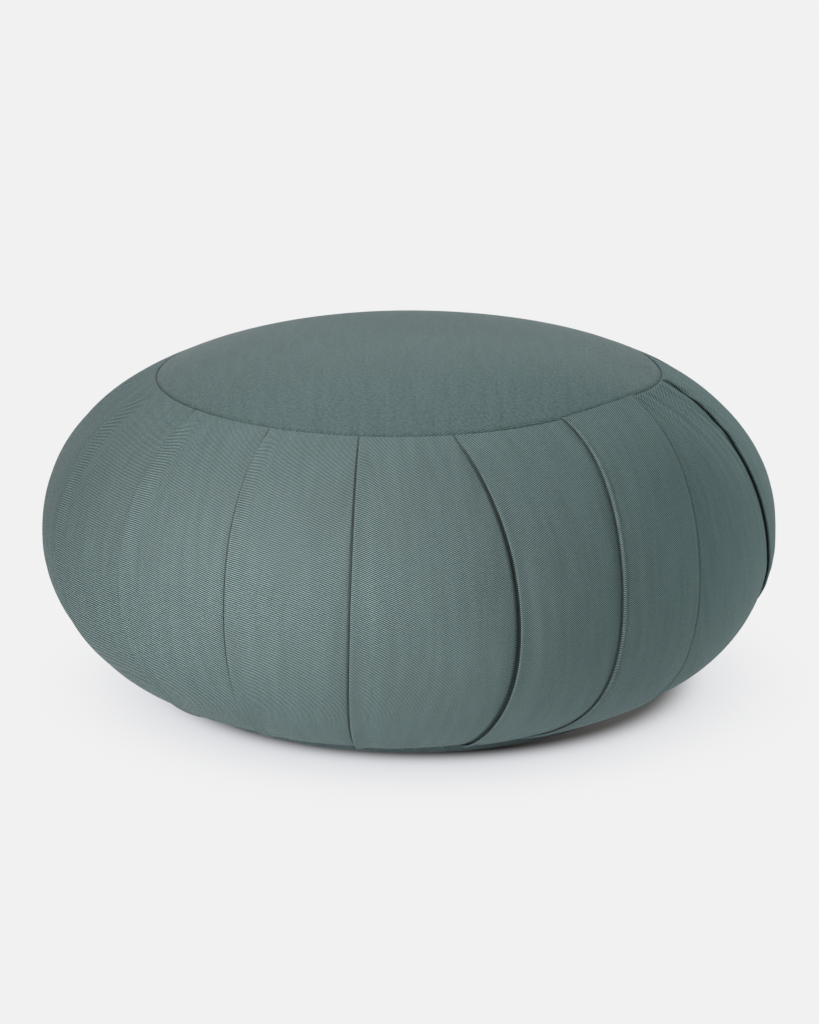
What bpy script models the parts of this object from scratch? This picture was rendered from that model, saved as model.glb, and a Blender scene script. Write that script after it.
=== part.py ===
"""A zafu: a round, firmly filled floor cushion with a knife-pleated side band.

Two round cloth panels close the top and the bottom. The band between them is folded into
pleats at both seams and bulges out between, so each fold opens a little at the widest
height. A plain strip, sewn down along both edges, covers the join of the band.

Units are metres, +Z is up, and the origin is on the floor under the middle of the cushion.
Angles run round the cushion from the front (-Y) towards +X.
"""

import math
from collections import namedtuple

import bmesh
import bpy
from mathutils import Vector

# Driving dimensions of the filled cushion
BAND_RADIUS = 0.1735
SEAM_RADIUS = 0.1194
TOP_SEAM_HEIGHT = 0.1518
WIDEST_HEIGHT = 0.0760
BOTTOM_SEAM_HEIGHT = 0.0070
CROWN_HEIGHT = 0.0179
CROWN_POWER = 3.0
FLOOR_CONTACT_RADIUS = 0.1100
BASE_RISE_POWER = 2.0

# How the band's side curve leaves each seam and passes its widest height
TOP_LEAVING_ANGLE = math.radians(26)
TOP_LEAVING_REACH = 0.0228
ABOVE_WIDEST_REACH = 0.0465
BOTTOM_LEAVING_ANGLE = math.radians(11)
BOTTOM_LEAVING_REACH = 0.0253
BELOW_WIDEST_REACH = 0.0355

# Cloth, and the clearance between pieces that are sewn together
PANEL_THICKNESS = 0.0020
STRIP_THICKNESS = 0.0012
STRIP_WIDTH = 0.0480
STRIP_EDGE_ROUNDING = 0.0005
CLEARANCE = 0.0003
PANEL_EDGE_GAP = 0.0005

# Shape of a pleat between the seams
FOLD_THICKNESS = 0.0015
FOLD_NOSE = 0.0009
FOLD_RUN_UP = 0.0012
POCKET_DEPTH = 0.0050
POCKET_HEIGHT = 0.0004
SEAM_LIFT = 0.0009
PANEL_BULGE = 0.0013
PANEL_DIP = 0.0010
DIP_REACH = 0.0060
SEAM_PRESS_SHARE = 0.10

# The top lies a little lower on the left, as the filling has settled
SETTLED_DROP = 0.0016

# Where each round seam runs above or below its even height: rows of middle and half width in
# degrees round the cushion, and height in metres
TOP_SEAM_RISES = ((54, 22, 0.0030), (-12, 40, -0.0013))
BOTTOM_SEAM_RISES = ((50, 22, 0.0016), (-8, 25, -0.0008))
BOTTOM_RISE_REACH = 0.05

# Mesh steps
BAND_RINGS = 19
PANEL_SHARES = (0.08, 0.26, 0.50, 0.74, 0.91)
STRIP_SHARES = (0.2, 0.4, 0.6, 0.8)
DISC_SEGMENTS = 48
DISC_RADIUS_SHARES = (0.34, 0.62, 0.82, 0.92, 0.97)

CLOTH_COLOUR = (0.135, 0.190, 0.180, 1.0)
CLOTH_ROUGHNESS = 0.92

# One row for each line down the band: its angle in degrees at the top seam, the widest
# height and the bottom seam, and how far its fold stands out there in metres
Line = namedtuple("Line", "kind top widest bottom lift")
LINES = (
    Line("pleat", -77.0, -68.0, -70.0, 0.0014),
    Line("pleat", -53.2, -46.6, -48.5, 0.0015),
    Line("pleat", -30.2, -26.8, -28.7, 0.0015),
    Line("pleat", -10.2, -8.2, -9.8, 0.0017),
    Line("pleat", 9.5, 15.8, 9.3, 0.0023),
    Line("strip", 46.1, 40.3, 35.0, 0.0),
    Line("pleat", 79.5, 73.2, 86.0, 0.0026),
    Line("pleat", 116.0, 104.0, 110.0, 0.0015),
    Line("pleat", 132.0, 124.0, 127.0, 0.0015),
    Line("pleat", 149.0, 144.0, 145.0, 0.0020),
    Line("pleat", 165.5, 164.0, 164.0, 0.0016),
    Line("pleat", 183.0, 184.0, 183.5, 0.0018),
    Line("pleat", 201.5, 205.0, 204.0, 0.0015),
    Line("pleat", 221.5, 226.5, 225.5, 0.0021),
    Line("pleat", 242.0, 248.5, 247.0, 0.0016),
    Line("pleat", 262.5, 270.5, 268.5, 0.0015),
)
STRIP = next(line for line in LINES if line.kind == "strip")


def smooth(share):
    """Eases from 0 to 1 as share goes from 0 to 1."""
    share = min(max(share, 0.0), 1.0)
    return share * share * (3 - 2 * share)


def bezier(points, share):
    """A point on a cubic curve of (radius, height), and its direction."""
    a, b, c, d = (Vector(p) for p in points)
    rest = 1 - share
    place = a * rest**3 + b * 3 * rest**2 * share + c * 3 * rest * share**2 + d * share**3
    along = (b - a) * rest**2 + (c - b) * 2 * rest * share + (d - c) * share**2
    return place, along.normalized()


def side_curve(down):
    """Radius and height on the band, and the outward direction, at a share of the way down."""
    widest = (BAND_RADIUS, WIDEST_HEIGHT)
    if down <= 0.5:
        seam = Vector((SEAM_RADIUS, TOP_SEAM_HEIGHT))
        leaving = Vector((math.cos(TOP_LEAVING_ANGLE), -math.sin(TOP_LEAVING_ANGLE)))
        points = (
            seam,
            seam + leaving * TOP_LEAVING_REACH,
            (BAND_RADIUS, WIDEST_HEIGHT + ABOVE_WIDEST_REACH),
            widest,
        )
        place, along = bezier(points, down * 2)
    else:
        seam = Vector((SEAM_RADIUS, BOTTOM_SEAM_HEIGHT))
        leaving = Vector((math.cos(BOTTOM_LEAVING_ANGLE), math.sin(BOTTOM_LEAVING_ANGLE)))
        points = (
            widest,
            (BAND_RADIUS, WIDEST_HEIGHT - BELOW_WIDEST_REACH),
            seam + leaving * BOTTOM_LEAVING_REACH,
            seam,
        )
        place, along = bezier(points, down * 2 - 1)
    outward = Vector((-along.y, along.x))
    return place, outward


def line_angle(line, down):
    """Angle of a pleat, or of the strip's middle, at a share of the way down the band."""
    straight = line.top + (line.bottom - line.top) * down
    bow = line.widest - (line.top + line.bottom) / 2
    return math.radians(straight + bow * (1 - (2 * down - 1) ** 2))


def openness(down):
    """0 at the seams, where the pleats are sewn flat, and 1 where they are open."""
    return smooth(min(down, 1 - down) / SEAM_PRESS_SHARE)


def fullness(down):
    """0 at the seams and 1 at the widest height."""
    return math.sin(math.pi * down)


def fold_lift(line, down):
    """How far a pleat's fold stands above the band."""
    if line.kind == "strip":
        return 0.0
    return SEAM_LIFT + (line.lift - SEAM_LIFT) * fullness(down)


def panel_offset(across, width, lift, down):
    """Offset of the cloth between two lines: high after a fold, low before the next."""
    share = across / width
    shingle = lift * (1 - share)
    bulge = PANEL_BULGE * 4 * share * (1 - share)
    dip = PANEL_DIP * math.exp(-(((width - across) / DIP_REACH) ** 2))
    return shingle + (bulge - dip) * fullness(down)


def fold_points(line, down):
    """The cloth's path through a pleat, as (along the band, outward) from the fold's nose.

    It runs on under the fold, turns in the pocket, comes back and goes round the nose.
    """
    lift = fold_lift(line, down)
    low = -PANEL_DIP * fullness(down)
    opened = (
        (-FOLD_RUN_UP, low),
        (POCKET_DEPTH, low),
        (POCKET_DEPTH, low + POCKET_HEIGHT),
        (FOLD_NOSE, lift - FOLD_THICKNESS),
        (0.0, lift - FOLD_THICKNESS / 2),
        (FOLD_NOSE, lift),
    )
    pressed = [
        (-FOLD_RUN_UP + (FOLD_RUN_UP + FOLD_NOSE) * share, low + (lift - low) * smooth(share))
        for share in (0.0, 0.2, 0.4, 0.6, 0.8, 1.0)
    ]
    share = openness(down)
    return [
        (a[0] + (b[0] - a[0]) * share, a[1] + (b[1] - a[1]) * share)
        for a, b in zip(pressed, opened)
    ]


def seam_rise(angle, rows):
    """How far a round seam runs above its even height at an angle."""
    turn = (math.degrees(angle) + 180) % 360 - 180
    return sum(rise * math.exp(-(((turn - middle) / half) ** 2)) for middle, half, rise in rows)


def settled(radius, angle, height):
    """The point at a radius, angle and height, once the filling has settled."""
    x = radius * math.sin(angle)
    y = -radius * math.cos(angle)
    leftward = 0.5 - x / (2 * BAND_RADIUS)
    drop = SETTLED_DROP * leftward * (height / TOP_SEAM_HEIGHT) ** 2
    near_top = min(1.0, radius / SEAM_RADIUS) ** 3 * (height / TOP_SEAM_HEIGHT) ** 2
    beyond = (radius - FLOOR_CONTACT_RADIUS) / (SEAM_RADIUS - FLOOR_CONTACT_RADIUS)
    near_floor = min(max(beyond, 0.0), 1.0) ** 2 * (1 - smooth(height / BOTTOM_RISE_REACH))
    rise = seam_rise(angle, TOP_SEAM_RISES) * near_top
    rise += seam_rise(angle, BOTTOM_SEAM_RISES) * near_floor
    return Vector((x, y, height - drop + rise))


def band_point(down, angle, along, outward):
    """A point on the band, moved along it and outwards from its side curve."""
    place, facing = side_curve(down)
    spot = place + facing * outward
    return settled(spot.x, angle + along / place.x, spot.y)


def panel_points(down, line, start, end):
    """Points across the panel of cloth that begins at a line."""
    width = side_curve(down)[0].x * (end - start)
    lift = fold_lift(line, down)
    return [
        band_point(down, start, width * s, panel_offset(width * s, width, lift, down))
        for s in PANEL_SHARES
    ]


def band_ring(down):
    """All points round the band at a share of the way down."""
    half_strip = STRIP_WIDTH / 2 / side_curve(down)[0].x
    points = []
    for line, following in zip(LINES, LINES[1:] + LINES[:1]):
        start = line_angle(line, down)
        end = line_angle(following, down)
        if line.kind == "strip":
            shares = (0.0,) + STRIP_SHARES + (1.0,)
            points += [band_point(down, start, STRIP_WIDTH * (s - 0.5), 0.0) for s in shares]
            start += half_strip
        else:
            points += [band_point(down, start, u, w) for u, w in fold_points(line, down)]
        if following.kind == "strip":
            end -= half_strip
        if following is LINES[0]:
            end += math.tau
        points += panel_points(down, line, start, end)
    return points


def crown_height(radius):
    """Height of the top panel's outer face."""
    return TOP_SEAM_HEIGHT + CROWN_HEIGHT * (1 - (radius / SEAM_RADIUS) ** CROWN_POWER)


def base_height(radius):
    """Height of the bottom panel's outer face, flat where it lies on the floor."""
    beyond = max(0.0, radius - FLOOR_CONTACT_RADIUS) / (SEAM_RADIUS - FLOOR_CONTACT_RADIUS)
    return BOTTOM_SEAM_HEIGHT * beyond**BASE_RISE_POWER


def circle(radius, height):
    turns = [math.tau * k / DISC_SEGMENTS for k in range(DISC_SEGMENTS)]
    return [settled(radius, turn, height) for turn in turns]


def add_ring(bm, points):
    return [bm.verts.new(p) for p in points]


def join_rings(bm, first, second):
    """Faces between two rings of as many points."""
    count = len(first)
    for k in range(count):
        after = (k + 1) % count
        bm.faces.new((first[k], first[after], second[after], second[k]))


def bridge(bm, first, second):
    """Faces between two rings whose numbers of points differ."""
    edges = []
    for ring in (first, second):
        for k, vert in enumerate(ring):
            after = ring[(k + 1) % len(ring)]
            edges.append(bm.edges.get((vert, after)) or bm.edges.new((vert, after)))
    bmesh.ops.bridge_loops(bm, edges=edges)


def add_disc(bm, height_at):
    """The inner part of a round face, returned by its outer ring."""
    hub = bm.verts.new(settled(0.0, 0.0, height_at(0.0)))
    radii = [SEAM_RADIUS * share for share in DISC_RADIUS_SHARES]
    rings = [add_ring(bm, circle(radius, height_at(radius))) for radius in radii]
    for k in range(DISC_SEGMENTS):
        bm.faces.new((hub, rings[0][k], rings[0][(k + 1) % DISC_SEGMENTS]))
    for inner, outer in zip(rings, rings[1:]):
        join_rings(bm, inner, outer)
    return rings[-1]


def cloth_material(name):
    material = bpy.data.materials.new(name)
    material.use_nodes = True
    shader = material.node_tree.nodes["Principled BSDF"]
    shader.inputs["Base Color"].default_value = CLOTH_COLOUR
    shader.inputs["Roughness"].default_value = CLOTH_ROUGHNESS
    shader.inputs["Metallic"].default_value = 0.0
    material.diffuse_color = CLOTH_COLOUR
    return material


def finish_piece(bm, name, sharp_angle):
    """Makes the object of a piece from its mesh, with its own material."""
    bmesh.ops.recalc_face_normals(bm, faces=bm.faces)
    mesh = bpy.data.meshes.new(name)
    bm.to_mesh(mesh)
    bm.free()
    mesh.shade_smooth()
    mesh.set_sharp_from_angle(angle=math.radians(sharp_angle))
    mesh.materials.append(cloth_material(name + "_twill"))
    piece = bpy.data.objects.new(name, mesh)
    bpy.context.scene.collection.objects.link(piece)
    return piece


def shares_down():
    """Shares of the way down the band, closer together near the seams."""
    return [(1 - math.cos(math.pi * k / (BAND_RINGS - 1))) / 2 for k in range(BAND_RINGS)]


def build_filled_band():
    """The pleated side band with its filling: one solid, with a bed for each round panel."""
    bm = bmesh.new()
    rings = [add_ring(bm, band_ring(down)) for down in shares_down()]
    for upper, lower in zip(rings, rings[1:]):
        join_rings(bm, upper, lower)

    depth = PANEL_THICKNESS + CLEARANCE
    for edge, rim_height, height_at in (
        (rings[0], TOP_SEAM_HEIGHT - depth, lambda radius: crown_height(radius) - depth),
        (rings[-1], BOTTOM_SEAM_HEIGHT + depth, lambda radius: base_height(radius) + depth),
    ):
        turns = [math.atan2(vert.co.x, -vert.co.y) for vert in edge]
        rim = add_ring(bm, [settled(SEAM_RADIUS, turn, rim_height) for turn in turns])
        join_rings(bm, rim, edge)
        bridge(bm, rim, add_disc(bm, height_at))
    return finish_piece(bm, "filled_pleated_band", 40)


def build_round_panel(name, outer_height, inner_height):
    """A round cloth panel, cut to the seam."""
    bm = bmesh.new()
    edge_radius = SEAM_RADIUS - PANEL_EDGE_GAP
    edges = []
    for height_at in (outer_height, inner_height):
        edge = add_ring(bm, circle(edge_radius, height_at(edge_radius)))
        join_rings(bm, add_disc(bm, height_at), edge)
        edges.append(edge)
    join_rings(bm, edges[0], edges[1])
    return finish_piece(bm, name, 50)


def strip_section(down):
    """The strip's outline at a share of the way down: over its face, then back beneath."""
    half = STRIP_WIDTH / 2
    inset = STRIP_EDGE_ROUNDING
    under = CLEARANCE
    over = under + STRIP_THICKNESS
    between = [STRIP_WIDTH * (share - 0.5) for share in STRIP_SHARES]
    outline = [(-half, under), (-half, over - inset), (-half + inset, over)]
    outline += [(along, over) for along in between]
    outline += [(half - inset, over), (half, over - inset), (half, under)]
    outline += [(along, under) for along in reversed(between)]
    middle = line_angle(STRIP, down)
    return [band_point(down, middle, along, outward) for along, outward in outline]


def close_end(bm, ring):
    """Closes an end of the strip in short faces, so that it keeps to the seam's curve."""
    count = len(STRIP_SHARES)
    left, over, right = ring[:3], ring[3:3 + count], ring[5 + count:2 + count:-1]
    under = ring[:-count - 1:-1]
    bm.faces.new((*left, over[0], under[0]))
    bm.faces.new((*right, over[-1], under[-1]))
    for k in range(len(over) - 1):
        bm.faces.new((over[k], over[k + 1], under[k + 1], under[k]))


def build_strip():
    """The plain strip sewn over the band from seam to seam."""
    bm = bmesh.new()
    rings = [add_ring(bm, strip_section(down)) for down in shares_down()]
    for upper, lower in zip(rings, rings[1:]):
        join_rings(bm, upper, lower)
    close_end(bm, rings[0])
    close_end(bm, rings[-1])
    return finish_piece(bm, "sewn_strip", 40)


def main():
    for old in list(bpy.data.objects):
        bpy.data.objects.remove(old)
    build_filled_band()
    build_round_panel("top_panel", crown_height, lambda r: crown_height(r) - PANEL_THICKNESS)
    build_round_panel("bottom_panel", base_height, lambda r: base_height(r) + PANEL_THICKNESS)
    build_strip()


main()
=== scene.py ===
"""Looks of the zafu: its twill cover as fine meshes, each fold, seam and stitch in place.

Metres, +Z up, origin on the floor under the middle of the cushion. Angles run round from the
front (-Y) towards +X, and "down" is the share of the way down the band, from seam to seam.
"""

import math
from collections import namedtuple

import bpy
import numpy as np
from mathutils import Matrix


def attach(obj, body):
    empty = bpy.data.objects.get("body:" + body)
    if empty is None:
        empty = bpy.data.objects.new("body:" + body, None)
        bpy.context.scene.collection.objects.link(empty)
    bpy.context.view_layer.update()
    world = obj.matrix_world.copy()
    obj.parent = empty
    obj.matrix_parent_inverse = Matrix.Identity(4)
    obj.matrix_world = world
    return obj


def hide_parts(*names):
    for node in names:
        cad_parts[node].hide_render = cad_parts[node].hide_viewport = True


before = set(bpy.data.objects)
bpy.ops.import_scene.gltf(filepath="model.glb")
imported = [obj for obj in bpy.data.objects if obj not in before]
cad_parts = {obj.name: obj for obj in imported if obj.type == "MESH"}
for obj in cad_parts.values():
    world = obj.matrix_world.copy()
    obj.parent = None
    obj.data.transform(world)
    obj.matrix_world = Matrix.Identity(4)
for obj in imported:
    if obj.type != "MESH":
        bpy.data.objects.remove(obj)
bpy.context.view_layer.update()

# The cushion's driving dimensions, as in the solids
BAND_RADIUS = 0.1735
SEAM_RADIUS = 0.1194
TOP_SEAM_HEIGHT = 0.1518
WIDEST_HEIGHT = 0.0760
BOTTOM_SEAM_HEIGHT = 0.0070
CROWN_HEIGHT = 0.0179
CROWN_POWER = 3.0
FLOOR_CONTACT_RADIUS = 0.1100
BASE_RISE_POWER = 2.0
TOP_LEAVING = (math.radians(26), 0.0228)
ABOVE_WIDEST_REACH = 0.0465
BOTTOM_LEAVING = (math.radians(11), 0.0253)
BELOW_WIDEST_REACH = 0.0355
SETTLED_DROP = 0.0016
# Rows of middle and half width in degrees round the cushion, and height in metres: where each
# round seam runs above or below its even height
TOP_SEAM_RISES = ((54, 22, 0.0030), (-12, 40, -0.0013))
BOTTOM_SEAM_RISES = ((50, 22, 0.0016), (-8, 25, -0.0008))
BOTTOM_RISE_REACH = 0.05
STRIP_WIDTH = 0.0480

# Folds. At a seam a fold is sewn shut, SHUT_FOLD thick and SEAM_LIFT high, and it has opened
# after OPENING_REACH. It hides a narrow pocket, and the groove before it is GROOVE_DEPTH times
# as deep as it is wide and bends at a share of both. Its lift stays in the cloth after it for a
# while and then runs out (FOLD_SLOPE). LIP_HOLLOW is the dip behind its lip: a share of the
# lip's height, and its middle and width in lip widths. A fold that is weaker below fades over
# FADING_BELOW, in shares down.
CLOTH_THICKNESS = 0.0011
SHUT_FOLD = 0.0009
SEAM_LIFT = 0.0004
OPENING_REACH = 0.016
POCKET_DEPTH = 0.0080
POCKET_HEIGHT = 0.0003
TURN_IN = 0.0003
GROOVE_DEPTH = 3.0
GROOVE_BEND = 0.55
NOSE_ROUNDING = 0.55
FOLD_SLOPE = (0.004, 0.030)
LIP_HOLLOW = (0.4, 2.2, 0.8)
FADING_BELOW = (0.35, 0.85)
PANEL_BULGE = 0.0011

# How far apart the panels, and the strip, are cut from the cloth, so that no weave runs on
PANEL_CLOTH_SHIFT = 0.071
STRIP_CLOTH_SHIFT = 2.0

# Round seams and panels: how far the band's and the panels' cloth sinks into a seam and over
# what length it turns down, how far within the seam a panel ends, how wide it is when flat, and
# how far the filling's own faces lie within the panels
SEAM_DEPTH = 0.0009
SEAM_TURN = 0.0010
PANEL_SINK = 0.0008
PANEL_TURN = 0.0014
PANEL_EASE = 0.0003
FILLING_GAP = 0.0035

# The strip: the height of its faces above the band, how far the groove before it runs in under
# it, the depth and width of the groove that its stitching pulls in, the height, inset and width
# of the lip along its edges, the height and reach of its puffed middle, and the depth and width
# of the turn at its edges
STRIP_RISE = 0.0013
STRIP_UNDERSIDE = 0.0003
UNDER_STRIP_REACH = 0.002
STITCH_GROOVE = (0.00045, 0.0009)
EDGE_LIP = (0.00032, 0.0009, 0.0007)
STRIP_PUFF = (0.0006, 0.012)
EDGE_TURN = (0.0007, 0.0008)

# Stitches of the strip and of the round seams. A seam's stitches lie some way down the seam's
# depth and lean outwards. A stitch is arched and its ends sink in, by so many thread radii, and
# its ends are a share of its thickness. LOOK_AHEAD and LOOK_OUT are the small steps that find
# which way stitches run and face.
STITCH_INSET = 0.0020
RIGHT_STITCH_INSET = 0.0016
STITCH_PITCH = 0.0028
STITCH_LENGTH = 0.0021
THREAD_RADIUS = 0.00019
SEAM_STITCH_PITCH = 0.0025
SEAM_STITCH_LENGTH = 0.0015
SEAM_THREAD_RADIUS = 0.00017
SEAM_STITCH_SINK = 0.55
SEAM_STITCH_LEAN = 0.35
STITCH_ARCH = 2.2
STITCH_ENDS_SUNK = 1.3
STITCH_ENDS_THICK = 0.55
LOOK_AHEAD = 0.0005
LOOK_OUT = 0.001

# Gathers at the top right: height, how far down they reach, the degrees round the cushion
# between which they start and end, their waves, and how soon below the seam they show. Rows of
# waves here and below: height, frequency and phase.
GATHER_HEIGHT = 0.0007
GATHER_REACH = 0.034
GATHERS_START = (56, 61)
GATHERS_END = (80, 92)
GATHER_WAVES = ((1.0, 2.05, 0.4), (0.6, 3.3, 1.9), (0.4, 1.27, 0.0))
GATHERS_HELD = 0.003

# The filling's slow unevenness, which the seams hold down nearby, and the fine puckers and slow
# swell of the top panel. Slanted waves have a frequency round the band and one down it.
FILLING_AROUND = ((0.35, 3, 0.3), (0.3, 5, 2.1), (0.2, 9, 4.0), (0.12, 14, 1.0))
FILLING_DOWN = ((0.5, 5.5, 1.1), (0.3, 9.0, 0.2))
FILLING_SLANTED = ((0.25, 7, 9, 0.0), (0.25, 4, -12, 1.0))
FILLING_FINE = ((1.0, 107, 0.4), (0.7, 139, 2.2))
FINE_SLANTED = ((1.0, 8, 5, 0.0),)
FILLING_HEIGHT = 0.0008
FINE_HEIGHT = 0.00004
FILLING_HELD = 0.03
PUCKER_WAVES = ((0.6, 17, 0.5), (0.4, 41, 1.0), (0.35, 67, 2.0), (0.3, 103, 0.0))
PUCKER_HEIGHT = 0.00016
PUCKER_REACH = 0.007
SWELL_WAVES = ((0.5, 2, 0.6), (0.4, 3, 2.0), (0.3, 5, 4.2))
SWELL_HEIGHT = 0.0005

# Mesh steps, and how much a panel's columns crowd towards its folds, those under the strip
# towards its left edge, and a disc's rings towards its edge
BAND_STEPS = 170
PANEL_STEPS = 19
GATHER_STEPS = 16
CROWDING = 0.10
NOSE_STEPS = 7
UNDER_STRIP_STEPS = 14
UNDER_STRIP_CROWDING = 1.5
STRIP_STEPS = 45
INNER_RINGS = (0.97, 0.8, 0.55, 0.3)
DISC_STEPS = 70
DISC_CROWDING = 0.85
DISC_SEGMENTS = 300
SEAM_STEPS = 1440

# A row for each line down the band. First its angle in degrees at the top seam, upper side,
# widest height, lower side and bottom seam. Then in metres how far its fold stands out, how
# thick the fold is, how far it gapes, how wide the groove before it is, how far back the cloth
# there rolls in, and how high and wide the lip along the fold is. Last come the share of the
# fold that is left below, and by how many degrees the weave is turned in the cloth after it.
Line = namedtuple("Line", "kind top upper widest low bottom lift thick gape groove reach lip "
                  "lip_width below grain")
ANGLES_AT = (0.0, 0.25, 0.5, 0.65, 1.0)
LINES = (
    Line("pleat", -78.0, -71.0, -68.0, -67.5, -70.0,
         0.0011, 0.0012, 0.0001, 0.0, 0.006, 0.0014, 0.0050, 0.2, -1),
    Line("pleat", -53.2, -48.5, -46.5, -45.8, -48.5,
         0.0017, 0.0010, 0.0007, 0.0006, 0.006, 0.0019, 0.0044, 0.4, 4),
    Line("pleat", -30.2, -28.2, -26.8, -27.2, -28.6,
         0.0013, 0.0010, 0.0007, 0.0005, 0.005, 0.0011, 0.0032, 0.8, -2),
    Line("pleat", -10.2, -8.5, -8.2, -8.8, -9.8,
         0.0013, 0.0010, 0.0009, 0.0005, 0.006, 0.0009, 0.0026, 1.0, 0),
    Line("pleat", 9.5, 13.8, 15.8, 15.2, 9.3,
         0.0018, 0.0010, 0.0018, 0.0004, 0.016, 0.0006, 0.0022, 1.0, 4),
    Line("strip", 46.1, 42.9, 40.2, 40.3, 35.0,
         0.0, 0.0, 0.0009, 0.0, 0.003, 0.0, 0.0022, 1.0, -1),
    Line("pleat", 79.5, 73.8, 73.2, 80.5, 92.0,
         0.0015, 0.0010, 0.0002, 0.0001, 0.006, 0.0006, 0.0026, 0.2, -2),
    Line("pleat", 116.0, 108.0, 104.0, 104.0, 110.0,
         0.0008, 0.0009, 0.0, 0.0, 0.008, 0.0, 0.0022, 0.8, 3),
    Line("pleat", 132.0, 127.0, 124.0, 124.0, 127.0,
         0.0011, 0.0012, 0.0002, 0.0, 0.006, 0.0004, 0.0022, 0.9, 0),
    Line("pleat", 149.0, 146.0, 144.0, 144.0, 145.0,
         0.0016, 0.0026, 0.0006, 0.0010, 0.010, 0.0004, 0.0022, 1.0, -2),
    Line("pleat", 165.5, 164.5, 164.0, 164.0, 164.0,
         0.0012, 0.0013, 0.0002, 0.0003, 0.006, 0.0004, 0.0022, 0.7, 2),
    Line("pleat", 183.0, 183.6, 184.0, 184.0, 183.5,
         0.0012, 0.0017, 0.0004, 0.0006, 0.007, 0.0004, 0.0022, 1.0, 1),
    Line("pleat", 201.5, 204.0, 205.0, 205.5, 206.0,
         0.0012, 0.0012, 0.0002, 0.0003, 0.006, 0.0004, 0.0022, 0.8, -3),
    Line("pleat", 221.5, 225.0, 226.5, 226.5, 226.5,
         0.0016, 0.0028, 0.0006, 0.0010, 0.010, 0.0004, 0.0022, 1.0, 2),
    Line("pleat", 242.0, 246.5, 248.5, 248.5, 247.5,
         0.0011, 0.0012, 0.0002, 0.0003, 0.006, 0.0004, 0.0022, 0.6, 0),
    Line("pleat", 262.5, 268.5, 270.5, 270.5, 268.5,
         0.0011, 0.0012, 0.0002, 0.0002, 0.006, 0.0004, 0.0022, 0.4, 3),
)
STRIP = next(line for line in LINES if line.kind == "strip")


def smooth(share):
    """Eases from 0 to 1 while a share runs from 0 to 1."""
    share = np.clip(share, 0.0, 1.0)
    return share * share * (3 - 2 * share)


def smooth_between(values, span):
    """Eases from 0 to 1 while values run from the span's start to its end."""
    start, end = span
    return smooth((values - start) / (end - start))


def bezier(points, share):
    """Points on a cubic curve of (radius, height), and their directions."""
    a, b, c, d = (np.array(p) for p in points)
    s = np.asarray(share, float)[..., None]
    r = 1 - s
    place = a * r**3 + 3 * b * r**2 * s + 3 * c * r * s**2 + d * s**3
    along = (b - a) * r**2 + 2 * (c - b) * r * s + (d - c) * s**2
    return place, along / np.linalg.norm(along, axis=-1, keepdims=True)


def leaving_point(seam, leaving, rise):
    """The point that the side curve heads for as it leaves a seam."""
    angle, reach = leaving
    return (seam[0] + reach * math.cos(angle), seam[1] + rise * reach * math.sin(angle))


def side_curve(down):
    """Radius and height on the band, and the outward direction, for each share down."""
    top = (SEAM_RADIUS, TOP_SEAM_HEIGHT)
    bottom = (SEAM_RADIUS, BOTTOM_SEAM_HEIGHT)
    widest = (BAND_RADIUS, WIDEST_HEIGHT)
    above = (BAND_RADIUS, WIDEST_HEIGHT + ABOVE_WIDEST_REACH)
    below = (BAND_RADIUS, WIDEST_HEIGHT - BELOW_WIDEST_REACH)
    upper = (top, leaving_point(top, TOP_LEAVING, -1), above, widest)
    lower = (widest, below, leaving_point(bottom, BOTTOM_LEAVING, 1), bottom)
    place_up, along_up = bezier(upper, down * 2)
    place_low, along_low = bezier(lower, down * 2 - 1)
    in_upper = (down <= 0.5)[..., None]
    place = np.where(in_upper, place_up, place_low)
    along = np.where(in_upper, along_up, along_low)
    return place, np.stack([-along[..., 1], along[..., 0]], -1)


def rises(angle, table):
    """How far a seam runs above or below its even height, for each angle."""
    around = (np.degrees(angle) + 180) % 360 - 180
    total = 0.0
    for middle, wide, height in table:
        total = total + height * np.exp(-(((around - middle) / wide) ** 2))
    return total


def settled(radius, angle, height):
    """Points at a radius, angle and height, once the filling has settled."""
    x = radius * np.sin(angle)
    y = -radius * np.cos(angle)
    drop = SETTLED_DROP * (0.5 - x / (2 * BAND_RADIUS)) * (height / TOP_SEAM_HEIGHT) ** 2
    held = np.minimum(1.0, radius / SEAM_RADIUS) ** 3 * (height / TOP_SEAM_HEIGHT) ** 2
    beyond = np.clip((radius - FLOOR_CONTACT_RADIUS) / (SEAM_RADIUS - FLOOR_CONTACT_RADIUS), 0, 1)
    low = beyond**2 * (1 - smooth(height / BOTTOM_RISE_REACH))
    rise = rises(angle, TOP_SEAM_RISES) * held + rises(angle, BOTTOM_SEAM_RISES) * low
    return np.stack([x, y, height - drop + rise], -1)


def waves(values, table):
    """Sum of sine waves, one (height, frequency, phase) row each."""
    return sum(height * np.sin(frequency * values + phase) for height, frequency, phase in table)


DOWN = (1 - np.cos(np.pi * np.linspace(0, 1, BAND_STEPS))) / 2
SIDE, FACING = side_curve(DOWN)
FULL = np.sin(np.pi * DOWN)
LENGTH_DOWN = np.concatenate([[0.0], np.cumsum(np.linalg.norm(np.diff(SIDE, axis=0), axis=1))])
FROM_SEAM = np.minimum(LENGTH_DOWN, LENGTH_DOWN[-1] - LENGTH_DOWN)
SEAM_HOLD = -SEAM_DEPTH * (1 - smooth(FROM_SEAM / SEAM_TURN)) ** 2
OPEN = smooth(FROM_SEAM / OPENING_REACH)


def slanted_waves(angle, table):
    """Sum of waves that slant down the band: (height, frequency round and down, phase) rows."""
    return sum(height * np.sin(around * angle + down * DOWN + phase)
               for height, around, down, phase in table)


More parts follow.
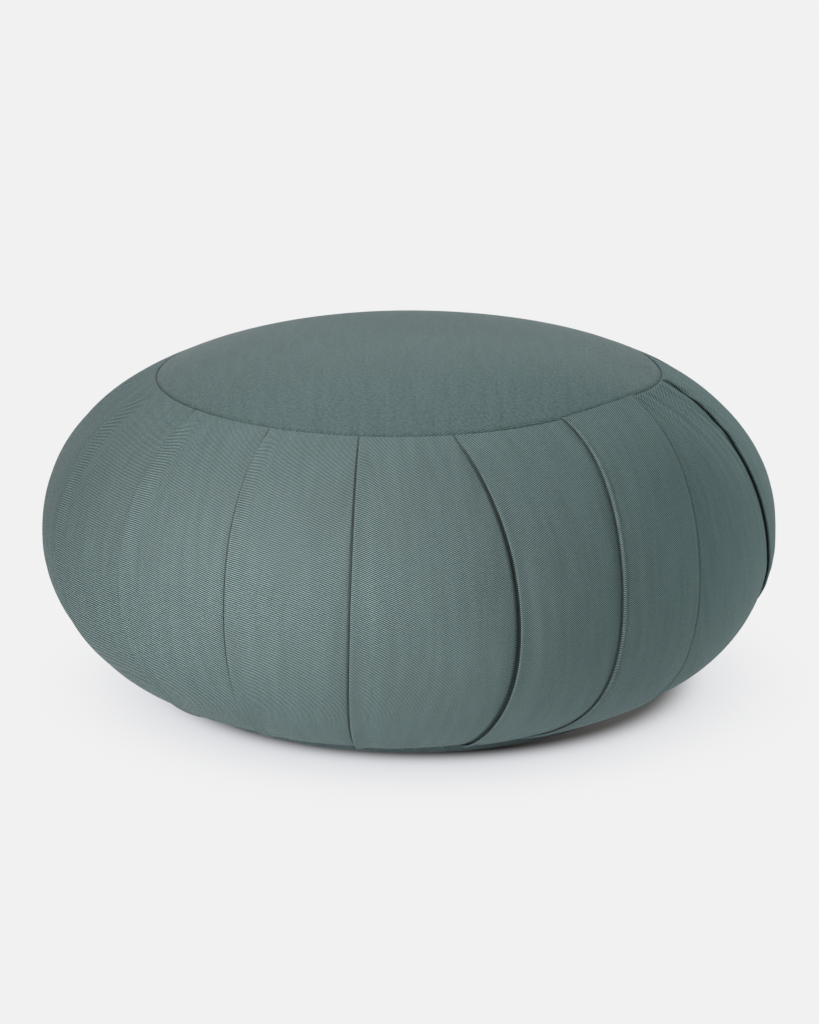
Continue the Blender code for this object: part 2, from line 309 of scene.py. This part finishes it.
def line_angle(line):
    """Angle of a line at each step down, on the smooth curve through its row's angles."""
    angles = (line.top, line.upper, line.widest, line.low, line.bottom)
    total = np.zeros_like(DOWN)
    for at, angle in zip(ANGLES_AT, angles):
        weight = np.full_like(DOWN, math.radians(angle))
        for other in ANGLES_AT:
            if other != at:
                weight *= (DOWN - other) / (at - other)
        total += weight
    return total


def kept_below(line):
    """Share of a fold that is left at each step down, before the seams hold it shut."""
    return 1 - (1 - line.below) * smooth_between(DOWN, FADING_BELOW)


def strength(line):
    """How much of a pleat is there: all of it above, less below, and little at the seams."""
    return FULL * kept_below(line)


def fold_lift(line):
    """Level of a fold's outer face."""
    if line.kind == "strip":
        return np.zeros_like(DOWN)
    return SEAM_LIFT * OPEN + (line.lift - SEAM_LIFT) * strength(line)


def fold_thickness(line):
    """How far a fold's outer face stands above its under face."""
    return SHUT_FOLD + (line.thick - SHUT_FOLD) * strength(line)


def low_before(line):
    """Level of the cloth where it passes under a fold, or under the strip's edge."""
    gap = line.gape * strength(line) * FULL
    if line.kind == "strip":
        return -gap
    return (fold_lift(line) - fold_thickness(line)) * OPEN - gap


def turned_in(line):
    """How far before a fold the cloth turns into its groove."""
    return TURN_IN + line.groove * strength(line) * FULL if line.kind == "pleat" else 0.0


def panel_offset(across, width, line, following):
    """Offset of the cloth between two lines: high after a fold, low before the next."""
    share = across / width
    flat, slope = FOLD_SLOPE
    shingle = fold_lift(line) * (1 - smooth((across - flat) / slope))
    if line.kind == "pleat":
        away = across / line.lip_width
        hollow, middle, wide = LIP_HOLLOW
        roll = np.exp(-(away**2)) - hollow * np.exp(-(((away - middle) / wide) ** 2))
        shingle = shingle + line.lip * OPEN * kept_below(line) * roll
    bulge = PANEL_BULGE * 4 * share * (1 - share) * FULL
    back = (width - turned_in(following) - across) / following.reach
    return shingle + bulge + low_before(following) * np.exp(-back)


def fold_path(line):
    """The cloth through a pleat: (along, outward) columns into its pocket and round its nose."""
    lift = fold_lift(line) + line.lip * OPEN * kept_below(line)
    low = low_before(line)
    thick = fold_thickness(line)
    nose = [
        (NOSE_ROUNDING * thick * (1 - math.sin(turn)), lift - thick / 2 * (1 + math.cos(turn)))
        for turn in np.linspace(0, math.pi, NOSE_STEPS)
    ]
    under = lift - thick
    edge = -turned_in(line)
    deep = low + GROOVE_DEPTH * (edge + TURN_IN)
    middle = (deep + under) / 2
    bend = (edge * GROOVE_BEND, low + (deep - low) * GROOVE_BEND)
    groove = [(edge, low), bend, (0.0, deep)]
    pocket = [(POCKET_DEPTH, deep), (POCKET_DEPTH, deep + POCKET_HEIGHT)]
    pocket.append((POCKET_DEPTH / 2, middle))
    opened = groove + pocket + nose
    first = first_across(line)
    shares = np.linspace(0, 1, len(opened))
    path = []
    for share, (along, outward) in zip(shares, opened):
        shut_along = edge + (first - edge) * share
        shut_outward = low + (lift - low) * smooth(share)
        path.append((
            shut_along + (along - shut_along) * OPEN,
            shut_outward + (outward - shut_outward) * OPEN,
        ))
    return path


def first_across(line):
    """How far after a line its panel starts, where the rounding of the fold ends."""
    return NOSE_ROUNDING * fold_thickness(line) if line.kind == "pleat" else 0.0


def gathers(angle):
    """Fine gathers that fan down from the top seam, between the strip and the next pleats."""
    place = np.degrees(angle) % 360
    here = smooth_between(place, GATHERS_START) * (1 - smooth_between(place, GATHERS_END))
    fading = np.exp(-LENGTH_DOWN / GATHER_REACH) * smooth(LENGTH_DOWN / GATHERS_HELD)
    return GATHER_HEIGHT * here * waves(place, GATHER_WAVES) * fading


def unevenness(angle):
    """Slow rise and fall of the filling under the cloth."""
    slow = waves(angle, FILLING_AROUND) * waves(DOWN, FILLING_DOWN)
    slanted = slanted_waves(angle, FILLING_SLANTED)
    fine = waves(angle, FILLING_FINE) * slanted_waves(angle, FINE_SLANTED)
    height = FILLING_HEIGHT * (slow + slanted) + FINE_HEIGHT * fine * FULL
    return height * smooth(FROM_SEAM / FILLING_HELD)


def band_column(angle, along, outward):
    """One line of points down the band."""
    turn = angle + along / SIDE[:, 0]
    out = outward + SEAM_HOLD + unevenness(turn) + gathers(turn)
    spot = SIDE + FACING * out[:, None]
    return settled(spot[:, 0], turn, spot[:, 1])


def cloth_place(beside, grain, number):
    """Where points down the band lie on the flat cloth, the weave turned from panel to panel."""
    turn = math.radians(grain)
    return np.stack([
        beside * math.cos(turn) - LENGTH_DOWN * math.sin(turn) + PANEL_CLOTH_SHIFT * number,
        -beside * math.sin(turn) - LENGTH_DOWN * math.cos(turn),
    ], -1)


def under_strip_columns(line):
    """The band's cloth under the strip, from its left edge to its right."""
    columns = []
    for share in np.linspace(0, 1, UNDER_STRIP_STEPS + 1)[:-1] ** UNDER_STRIP_CROWDING:
        along = STRIP_WIDTH * (share - 0.5)
        outward = low_before(line) * math.exp(-share * STRIP_WIDTH / UNDER_STRIP_REACH)
        cloth = np.stack([along + 0 * DOWN, -LENGTH_DOWN], -1)
        columns.append((band_column(line_angle(line), along, outward), cloth))
    return columns


def panel_path(width, line, following):
    """The cloth from one line to the next, as (along, outward) columns."""
    path = fold_path(line) if line.kind == "pleat" else []
    first, last = first_across(line), turned_in(following)
    count = PANEL_STEPS + (GATHER_STEPS if line.kind == "strip" else 0)
    steps = np.linspace(0, 1, count + 2)
    steps = steps - CROWDING * np.sin(2 * np.pi * steps)
    for share in steps[1:-1]:
        across = first + (width - first - last) * share
        path.append((across, panel_offset(across, width, line, following)))
    return path


def band_columns():
    """Every line of points down the band, in order round it, each with its cloth position."""
    half_strip = STRIP_WIDTH / 2 / SIDE[:, 0]
    columns = []
    for number, line in enumerate(LINES):
        following = LINES[(number + 1) % len(LINES)]
        start = line_angle(line)
        end = line_angle(following) + (math.tau if number == len(LINES) - 1 else 0)
        if line.kind == "strip":
            columns += under_strip_columns(line)
            start = start + half_strip
        if following.kind == "strip":
            end = end - half_strip
        width = SIDE[:, 0] * (end - start)
        for along, outward in panel_path(width, line, following):
            cloth = cloth_place(along - width / 2, line.grain, number)
            columns.append((band_column(start, along, outward), cloth))
    return columns


def make_mesh(name, points, faces, cloth=None, material=None):
    """A smooth mesh object, with the cloth's own position in metres as its UV map."""
    mesh = bpy.data.meshes.new(name)
    mesh.from_pydata(np.asarray(points).tolist(), [], faces)
    if cloth is not None:
        layer = mesh.uv_layers.new(name="cloth")
        corners = np.zeros(len(mesh.loops), dtype=np.int64)
        mesh.loops.foreach_get("vertex_index", corners)
        layer.data.foreach_set("uv", np.asarray(cloth)[corners].ravel())
    mesh.shade_smooth()
    piece = bpy.data.objects.new(name, mesh)
    bpy.context.scene.collection.objects.link(piece)
    if material:
        mesh.materials.append(material)
    return piece


def ring_faces(count, rings):
    """Quads between neighbouring rings of as many points each."""
    k = np.arange(count)
    after = (k + 1) % count
    faces = []
    for ring in range(rings - 1):
        a, b = ring * count, (ring + 1) * count
        faces += np.stack([a + k, b + k, b + after, a + after], 1).tolist()
    return faces


def closed_rings(rings, first, last):
    """Points and faces of rings in a row, closed by a fan to a middle point at either end."""
    count = len(rings[0])
    points = np.concatenate([*rings, first[None], last[None]])
    faces = ring_faces(count, len(rings))
    ring = (len(rings) - 1) * count
    for k in range(count):
        after = (k + 1) % count
        faces.append((len(points) - 2, k, after))
        faces.append((len(points) - 1, ring + after, ring + k))
    return points, faces


def crown_height(radius):
    """Height of the top panel's crown at a radius."""
    return TOP_SEAM_HEIGHT + CROWN_HEIGHT * (1 - (radius / SEAM_RADIUS) ** CROWN_POWER)


def base_height(radius):
    """Height of the bottom panel at a radius: flat on the floor, then rising to its seam."""
    beyond = np.maximum(0.0, radius - FLOOR_CONTACT_RADIUS) / (SEAM_RADIUS - FLOOR_CONTACT_RADIUS)
    return BOTTOM_SEAM_HEIGHT * beyond**BASE_RISE_POWER


def build_band(material):
    """The pleated band and its filling, closed under the two round panels."""
    columns = band_columns()
    grid = np.stack([points for points, _ in columns], 1)
    places = np.stack([place for _, place in columns], 1)
    turn_top = np.arctan2(grid[0, :, 0], -grid[0, :, 1])
    turn_bottom = np.arctan2(grid[-1, :, 0], -grid[-1, :, 1])
    before, behind = [], []
    for share in INNER_RINGS:
        radius = SEAM_RADIUS * share
        before.insert(0, settled(radius, turn_top, crown_height(radius) - FILLING_GAP))
        behind.append(settled(radius, turn_bottom, base_height(radius) + FILLING_GAP))
    rings = before + list(grid) + behind
    points, faces = closed_rings(rings, rings[0].mean(0), rings[-1].mean(0))
    inner = len(INNER_RINGS)
    cloth = [places[0]] * inner + list(places) + [places[-1]] * inner
    cloth = np.concatenate([*cloth, places[0][:1], places[-1][:1]])
    return make_mesh("pleated_band_cloth", points, faces, cloth, material)


def build_disc(name, height_at, side, material):
    """A round panel of cloth, its edge turned down into the seam. Side is 1 above, -1 below."""
    shares = np.linspace(0, 1, DISC_STEPS + 1)[1:] ** DISC_CROWDING
    edge = SEAM_RADIUS - PANEL_EASE
    turns = np.linspace(0, math.tau, DISC_SEGMENTS, endpoint=False)
    outer, inner = [], []
    for share in shares:
        radius = edge * share
        from_edge = edge - radius
        puckers = PUCKER_HEIGHT * waves(turns, PUCKER_WAVES) * math.exp(-from_edge / PUCKER_REACH)
        swell = SWELL_HEIGHT * waves(turns, SWELL_WAVES) * share**2 * (1 - share**4)
        rise = puckers + swell if side > 0 else 0.0
        sink = -side * PANEL_SINK * (1 - smooth(from_edge / PANEL_TURN)) ** 2
        height = height_at(radius) + rise + sink
        outer.append(settled(radius, turns, height))
        inner.append(settled(radius, turns, height - side * CLOTH_THICKNESS))
    hub = settled(0.0, 0.0, height_at(0.0))
    under = hub - np.array([0, 0, side * CLOTH_THICKNESS])
    points, faces = closed_rings(outer + inner[::-1], hub, under)
    if side < 0:
        faces = [tuple(reversed(face)) for face in faces]
    return make_mesh(name, points, faces, points[:, :2], material)


def strip_offset(along):
    """Face of the strip: puffed between its two rows of stitching, turned down at the edges."""
    edge = STRIP_WIDTH / 2 - abs(along)
    depth, width = STITCH_GROOVE
    groove = depth * np.exp(-(((edge - STITCH_INSET) / width) ** 2))
    height, inset, width = EDGE_LIP
    lip = height * np.exp(-(((edge - inset) / width) ** 2)) * OPEN
    height, reach = STRIP_PUFF
    puff = height * smooth((edge - STITCH_INSET) / reach) * FULL
    depth, width = EDGE_TURN
    turn_down = depth * (1 - smooth(edge / width))
    return STRIP_RISE - groove - turn_down + lip + puff


def build_strip(material):
    """The plain strip, a closed sheet laid over the band from seam to seam."""
    half = STRIP_WIDTH / 2
    face = [half * math.sin(turn) for turn in np.linspace(-math.pi / 2, math.pi / 2, STRIP_STEPS)]
    middle = line_angle(STRIP)
    columns = [(along, strip_offset(along)) for along in face]
    columns += [(along, np.full_like(DOWN, STRIP_UNDERSIDE)) for along in face[::-1]]
    grid = np.stack([band_column(middle, along, outward) for along, outward in columns], 1)
    count = grid.shape[1]
    points = grid.reshape(-1, 3)
    faces = ring_faces(count, len(grid))
    faces.append(tuple(range(count)))
    faces.append(tuple((len(grid) - 1) * count + k for k in range(count))[::-1])
    across = np.array([along for along, _ in columns])
    cloth = np.stack([
        np.broadcast_to(across + STRIP_CLOTH_SHIFT, grid.shape[:2]),
        np.broadcast_to(-LENGTH_DOWN[:, None], grid.shape[:2]),
    ], -1).reshape(-1, 2)
    return make_mesh("sewn_strip_cloth", points, faces, cloth, material)


def node(tree, kind, inputs=(), **settings):
    """Adds a shader node, with its settings, values and links."""
    made = tree.nodes.new(kind)
    for name, value in settings.items():
        setattr(made, name, value)
    for socket, value in inputs:
        if isinstance(value, bpy.types.NodeSocket):
            tree.links.new(value, made.inputs[socket])
        else:
            made.inputs[socket].default_value = value
    return made


def math_node(tree, operation, *values):
    """The result of a Math node with these values."""
    return node(tree, "ShaderNodeMath", list(enumerate(values)), operation=operation).outputs[0]


def noise_node(tree, place, scale, detail=2.0):
    """Smooth noise from 0 to 1 at a place."""
    inputs = [("Vector", place), ("Scale", scale), ("Detail", detail)]
    return node(tree, "ShaderNodeTexNoise", inputs).outputs[0]


def range_node(tree, value, start, end, at_start, at_end):
    """A value eased in a straight line between what it is at the start and at the end."""
    inputs = [(0, value), (1, start), (2, end), (3, at_start), (4, at_end)]
    return node(tree, "ShaderNodeMapRange", inputs).outputs[0]


# Twill: yarns lie a pitch apart, and their floats step sideways from row to row into ribs
CLOTH_COLOUR = (0.1190, 0.1780, 0.1770)
# The round panels are the same cloth as the band, in a darker copy of its colour: painted shade,
# so that the top, where the light falls more fully, is not too bright.
DARKENED_PANEL_COLOUR = (0.0880, 0.1430, 0.1425)
YARN_PITCH = 0.000277
YARN_STEP = 0.000585
YARNS_IN_RIB = 3
YARN_WOBBLE = 0.0004
WOBBLE_SCALE = 160.0
YARN_ROUNDING = 0.35
RIB_SHARPNESS = 4.0
RIB_RELIEF = 0.00010
MEAN_HEIGHT = 0.33
# Painted raking light and shade: the ribs' painted light and shade show more where the cloth faces
# the light at the left, and fade on the far side in shade, by how far the cloth faces +X: start,
# end, and the share at each
PAINTED_RAKE_BY_SIDE = (-0.1, 0.25, 1.08, 0.70)
PAINTED_SHADE_FADE_BY_SIDE = (0.45, 0.80, 1.0, 0.35)
# Uneven colour: the scale of each noise, and how much of the colour it takes up
STREAK_STRETCH = (1.0, 0.12, 1.0)
STREAKS = (260.0, 0.34)
PATCHES = (22.0, 0.10)
MOTTLE_SCALE = 700.0
# Sewing threads, dark and light, and the scale of their plies
STRIP_THREAD = ((0.07, 0.10, 0.104, 1.0), (0.15, 0.20, 0.205, 1.0))
# The seam thread is near black: partly the thread's own colour, partly painted shade in the seam's
# groove.
SEAM_THREAD_WITH_SHADE = ((0.02, 0.03, 0.03, 1.0), (0.08, 0.11, 0.11, 1.0))
PLY_SCALE = 3000.0


def twill_height(tree, place):
    """Height of the twill, from 0 to 1, at a place on the cloth in metres."""
    wobble = noise_node(tree, place, WOBBLE_SCALE)
    shake = math_node(tree, "MULTIPLY_ADD", wobble, YARN_WOBBLE, -YARN_WOBBLE / 2)
    apart = node(tree, "ShaderNodeSeparateXYZ", [(0, place)])
    across = math_node(tree, "ADD", apart.outputs[0], shake)
    row = math_node(tree, "DIVIDE", math_node(tree, "ADD", apart.outputs[1], shake), YARN_PITCH)
    over = math_node(tree, "MULTIPLY", math_node(tree, "FRACT", row), math.pi)
    yarn = math_node(tree, "SINE", over)
    moved = math_node(tree, "MULTIPLY_ADD", math_node(tree, "FLOOR", row), -YARN_STEP, across)
    phase = math_node(tree, "FRACT", math_node(tree, "DIVIDE", moved, YARN_STEP * YARNS_IN_RIB))
    float_height = math_node(tree, "SINE", math_node(tree, "MULTIPLY", phase, math.pi))
    rib = math_node(tree, "POWER", float_height, RIB_SHARPNESS)
    rounded = math_node(tree, "MULTIPLY_ADD", yarn, YARN_ROUNDING, 1.0 - YARN_ROUNDING)
    return math_node(tree, "MULTIPLY", rib, rounded)


def twill_material(name, colour, contrast, mottle, sheen):
    """Cotton twill; its colour carries painted light on the ribs and painted shade in the grooves,
    with random streaks, patches and mottling.
    """
    material = bpy.data.materials.new(name)
    material.use_nodes = True
    tree = material.node_tree
    shader = tree.nodes["Principled BSDF"]
    place = node(tree, "ShaderNodeUVMap", uv_map="cloth").outputs[0]
    height = twill_height(tree, place)

    normal = node(tree, "ShaderNodeNewGeometry").outputs["Normal"]
    sideways = node(tree, "ShaderNodeSeparateXYZ", [(0, normal)]).outputs[0]
    # Painted raking light: the ribs' painted light and shade are stronger on cloth facing the
    # light at the left, and fade where the cloth faces away into shade.
    far = range_node(tree, sideways, *PAINTED_SHADE_FADE_BY_SIDE)
    painted_rake = math_node(tree, "MULTIPLY", range_node(tree, sideways, *PAINTED_RAKE_BY_SIDE), contrast)
    # Painted light and shade of the weave: the colour is lighter where the ribs stand up and
    # darker in the grooves between them.
    above = math_node(tree, "MULTIPLY", math_node(tree, "SUBTRACT", height, MEAN_HEIGHT), far)
    shade = math_node(tree, "ADD", math_node(tree, "MULTIPLY", above, painted_rake), 1.0)

    drawn = node(tree, "ShaderNodeVectorMath", [(0, place), (1, STREAK_STRETCH)],
                 operation="MULTIPLY").outputs[0]
    mottling = (MOTTLE_SCALE, mottle)
    for spot, (scale, amount) in ((drawn, STREAKS), (place, PATCHES), (place, mottling)):
        uneven = noise_node(tree, spot, scale, detail=3.0)
        share = math_node(tree, "MULTIPLY_ADD", uneven, amount, 1.0 - amount / 2)
        shade = math_node(tree, "MULTIPLY", shade, share)
    tint = node(tree, "ShaderNodeVectorMath", [(0, colour), ("Scale", shade)], operation="SCALE")
    tree.links.new(tint.outputs[0], shader.inputs["Base Color"])
    relief = node(tree, "ShaderNodeBump",
                  [("Strength", 1.0), ("Distance", RIB_RELIEF), ("Height", height)])
    tree.links.new(relief.outputs[0], shader.inputs["Normal"])
    shader.inputs["Roughness"].default_value = 0.95
    shader.inputs["Specular IOR Level"].default_value = 0.15
    shader.inputs["Sheen Weight"].default_value = sheen
    shader.inputs["Sheen Roughness"].default_value = 0.3
    material.diffuse_color = (*colour, 1.0)
    return material


def thread_material(name, dark, light):
    """Sewing thread, its plies lighter and darker."""
    material = bpy.data.materials.new(name)
    material.use_nodes = True
    tree = material.node_tree
    shader = tree.nodes["Principled BSDF"]
    place = node(tree, "ShaderNodeTexCoord").outputs["Object"]
    ramp = node(tree, "ShaderNodeValToRGB", [(0, noise_node(tree, place, PLY_SCALE))])
    ramp.color_ramp.elements[0].color = dark
    ramp.color_ramp.elements[1].color = light
    tree.links.new(ramp.outputs[0], shader.inputs["Base Color"])
    shader.inputs["Roughness"].default_value = 0.6
    return material


def build_stitches(name, spots, material, length, thread):
    """Short stitches as one mesh: each runs along its direction, arched over the cloth."""
    sides, steps = 6, 5
    points, faces = [], []
    for centre, along, out in spots:
        beside = np.cross(along, out)
        base = len(points)
        for share in np.linspace(-1, 1, steps):
            bow = 1 - share**2
            level = thread * (STITCH_ARCH * bow - STITCH_ENDS_SUNK)
            spine = centre + along * share * length / 2 + out * level
            thick = thread * (STITCH_ENDS_THICK + (1 - STITCH_ENDS_THICK) * bow)
            for k in range(sides):
                turn = math.tau * k / sides
                points.append(spine + thick * (beside * math.cos(turn) + out * math.sin(turn)))
        for ring in range(steps - 1):
            for k in range(sides):
                a = base + ring * sides
                b = a + sides
                faces.append((a + k, a + (k + 1) % sides, b + (k + 1) % sides, b + k))
        faces.append(tuple(base + k for k in range(sides))[::-1])
        faces.append(tuple(base + (steps - 1) * sides + k for k in range(sides)))
    return make_mesh(name, points, faces, None, material)


def stitch_spots(path, facing, pitch):
    """Centres and directions of stitches at an even pitch along a path of points."""
    run = np.concatenate([[0.0], np.cumsum(np.linalg.norm(np.diff(path, axis=0), axis=1))])
    spots = []
    for place in np.arange(pitch, run[-1] - pitch, pitch):
        at = [np.interp(place, run, path[:, k]) for k in range(3)]
        ahead = [np.interp(place + LOOK_AHEAD, run, path[:, k]) for k in range(3)]
        out = np.array([np.interp(place, run, facing[:, k]) for k in range(3)])
        along = np.array(ahead) - np.array(at)
        along /= np.linalg.norm(along)
        out -= along * (along @ out)
        spots.append((np.array(at), along, out / np.linalg.norm(out)))
    return spots


def strip_stitches(material):
    """The two lines of topstitching, one along each edge of the strip."""
    spots = []
    middle = line_angle(STRIP)
    for along in (STITCH_INSET - STRIP_WIDTH / 2, STRIP_WIDTH / 2 - RIGHT_STITCH_INSET):
        outward = strip_offset(along)
        path = band_column(middle, along, outward)
        facing = band_column(middle, along, outward + LOOK_OUT) - path
        spots += stitch_spots(path, facing, STITCH_PITCH)
    return build_stitches("strip_topstitching", spots, material, STITCH_LENGTH, THREAD_RADIUS)


def seam_stitches(material):
    """The fine stitches that show in the two round seams."""
    spots = []
    turns = np.linspace(0, math.tau, SEAM_STEPS + 1)
    for height, rise in ((TOP_SEAM_HEIGHT, 1), (BOTTOM_SEAM_HEIGHT, -1)):
        level = height - rise * SEAM_DEPTH * SEAM_STITCH_SINK
        path = settled(SEAM_RADIUS, turns, level)
        lean = SEAM_STITCH_LEAN * np.array([np.sin(turns), -np.cos(turns)])
        facing = np.stack([*lean, np.full_like(turns, rise)], -1)
        spots += stitch_spots(path, facing, SEAM_STITCH_PITCH)
    return build_stitches("seam_stitching", spots, material, SEAM_STITCH_LENGTH,
                          SEAM_THREAD_RADIUS)


SKY_STRENGTH = 0.03
# A row for each far lamp: its azimuth and elevation in degrees, strength, width in degrees and
# warmth, which is its red beside green and blue
FAR_LAMPS = (
    ("left", -64, 25, 1.18, 25, 1.01),
    ("back_right", 120, 25, 1.46, 25, 0.94),
    ("back", 180, 36, 1.31, 25, 0.96),
    ("high_right", 60, 55, 0.46, 25, 0.80),
)
# A row for each soft box at the front left: azimuth, elevation, distance, width and height in
# metres, power and warmth
SOFT_BOXES = (
    ("soft_box", -19, 42, 0.36, 0.2, 0.6, 0.60, 1.17),
    ("low_box", -20, 0, 0.45, 0.2, 0.3, 0.50, 1.18),
)
FAR_LAMP_DISTANCE = 2.0
FLOOR_LIGHT = 0.880
FLOOR_REACH = 6.0
# The painted contact shadow on the glowing floor, round the spot where the cushion stands: a ring
# of radius SHADE_EDGE, stretched and shifted along X, away from the light at the left. Rows of
# depth (red, green, blue), reach in metres from that edge, and the share that is left at the
# right, past the two places in SHADE_RIGHT.
PAINTED_CONTACT_SHADOW = (((0.765, 0.775, 0.815), 0.0110, 0.93), ((0.225, 0.215, 0.175), 0.0370, 0.82))
SHADE_STRETCH = (0.95, 1.0, 1.0)
SHADE_SHIFT = (-0.0080, 0.0, 0.0)
SHADE_EDGE = 0.1085
SHADE_RIGHT = (0.040, 0.100)


def floor_material():
    """Bright plain floor that glows, with a painted contact shadow close to the cushion."""
    material = bpy.data.materials.new("pale_floor")
    material.use_nodes = True
    tree = material.node_tree
    tree.nodes.remove(tree.nodes["Principled BSDF"])
    place = node(tree, "ShaderNodeNewGeometry").outputs["Position"]
    moved = node(tree, "ShaderNodeVectorMath", [(0, place), (1, SHADE_STRETCH), (2, SHADE_SHIFT)],
                 operation="MULTIPLY_ADD").outputs[0]
    radius = node(tree, "ShaderNodeVectorMath", [(0, moved)], operation="LENGTH").outputs["Value"]
    beyond = math_node(tree, "MAXIMUM", math_node(tree, "SUBTRACT", radius, SHADE_EDGE), 0.0)
    across = node(tree, "ShaderNodeSeparateXYZ", [(0, place)]).outputs[0]
    light = (1.0, 1.0, 1.0)
    for depth, reach, right_share in PAINTED_CONTACT_SHADOW:
        share = range_node(tree, across, *SHADE_RIGHT, 1.0, right_share)
        away = math_node(tree, "POWER", math_node(tree, "DIVIDE", beyond, reach), 2.0)
        fade = math_node(tree, "MULTIPLY", math_node(tree, "POWER", math.exp(-1), away), share)
        dark = node(tree, "ShaderNodeVectorMath", [(0, depth), ("Scale", fade)], operation="SCALE")
        light = node(tree, "ShaderNodeVectorMath", [(0, light), (1, dark.outputs[0])],
                     operation="SUBTRACT").outputs[0]
    glow = node(tree, "ShaderNodeEmission", [(0, light), (1, FLOOR_LIGHT)])
    tree.links.new(glow.outputs[0], tree.nodes["Material Output"].inputs[0])
    return material


def place_lamp(lamp, azimuth, elevation, distance):
    """Stands a lamp round the cushion, facing its middle."""
    light = bpy.data.objects.new(lamp.name, lamp)
    around, up = math.radians(azimuth), math.radians(elevation)
    flat = distance * math.cos(up)
    light.location = (flat * math.sin(around), -flat * math.cos(around),
                      WIDEST_HEIGHT + distance * math.sin(up))
    light.rotation_euler = (math.radians(90) - up, 0, around)
    bpy.context.scene.collection.objects.link(light)
    return light


def studio():
    """A plain pale glowing floor with a painted contact shadow, under even light that is brighter
    from the front left.
    """
    scene = bpy.context.scene
    scene.view_settings.view_transform = "Standard"
    world = bpy.data.worlds.new("studio")
    world.use_nodes = True
    sky = world.node_tree.nodes["Background"]
    sky.inputs["Color"].default_value = (1.0, 1.0, 1.0, 1.0)
    sky.inputs["Strength"].default_value = SKY_STRENGTH
    scene.world = world
    for name, azimuth, elevation, strength, wide, warm in FAR_LAMPS:
        lamp = bpy.data.lights.new(name, "SUN")
        lamp.energy = strength
        lamp.color = (warm, 1.0, 1.0)
        lamp.angle = math.radians(wide)
        place_lamp(lamp, azimuth, elevation, FAR_LAMP_DISTANCE)
    for name, azimuth, elevation, distance, wide, tall, power, warm in SOFT_BOXES:
        lamp = bpy.data.lights.new(name, "AREA")
        lamp.shape = "RECTANGLE"
        lamp.size = wide
        lamp.size_y = tall
        lamp.energy = power
        lamp.color = (warm, 1.0, 1.0)
        place_lamp(lamp, azimuth, elevation, distance).visible_camera = False
    sides = ((-1, -1), (1, -1), (1, 1), (-1, 1))
    corners = [(x * FLOOR_REACH, y * FLOOR_REACH, 0) for x, y in sides]
    make_mesh("studio_floor", corners, [(0, 1, 2, 3)], None, floor_material())


# The photograph's view, from the front and a little above
VIEW_DISTANCE = 1.4
VIEW_ELEVATION = math.radians(15.9)
VIEW_HEIGHT = 0.08
LENS = 102.4
SENSOR_WIDTH = 36.0
VIEW_SHIFT = (0.7 / 1024, 3.0 / 1024)


def camera():
    """Stands the camera at the photograph's view."""
    eye = bpy.data.cameras.new("camera")
    eye.lens = LENS
    eye.sensor_width = SENSOR_WIDTH
    eye.shift_x, eye.shift_y = VIEW_SHIFT
    spot = bpy.data.objects.new("camera", eye)
    spot.location = (0, -VIEW_DISTANCE * math.cos(VIEW_ELEVATION),
                     VIEW_HEIGHT + VIEW_DISTANCE * math.sin(VIEW_ELEVATION))
    spot.rotation_euler = (math.radians(90) - VIEW_ELEVATION, 0, 0)
    bpy.context.scene.collection.objects.link(spot)
    bpy.context.scene.camera = spot


def main():
    """Builds the stage and the cushion, hides the solids they replace and attaches each piece to
    the root.
    """
    camera()
    studio()
    twill = twill_material("band_twill", CLOTH_COLOUR, contrast=2.85, mottle=0.3, sheen=0.08)
    plain = twill_material("panel_twill", DARKENED_PANEL_COLOUR, contrast=1.3, mottle=1.1, sheen=0.27)

    band = build_band(twill)
    top = build_disc("top_panel_cloth", crown_height, 1, plain)
    base = build_disc("bottom_panel_cloth", base_height, -1, plain)
    strip = build_strip(twill)
    stitches = strip_stitches(thread_material("strip_thread", *STRIP_THREAD))
    seams = seam_stitches(thread_material("seam_thread", *SEAM_THREAD_WITH_SHADE))

    for piece, replaced, finish in (
        (band, "filled_pleated_band", "band_twill"),
        (top, "top_panel", "panel_twill"),
        (base, "bottom_panel", "panel_twill"),
        (strip, "sewn_strip", "band_twill"),
    ):
        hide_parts(replaced)
        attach(piece, "root")
    for piece in (stitches, seams):
        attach(piece, "root")


main()
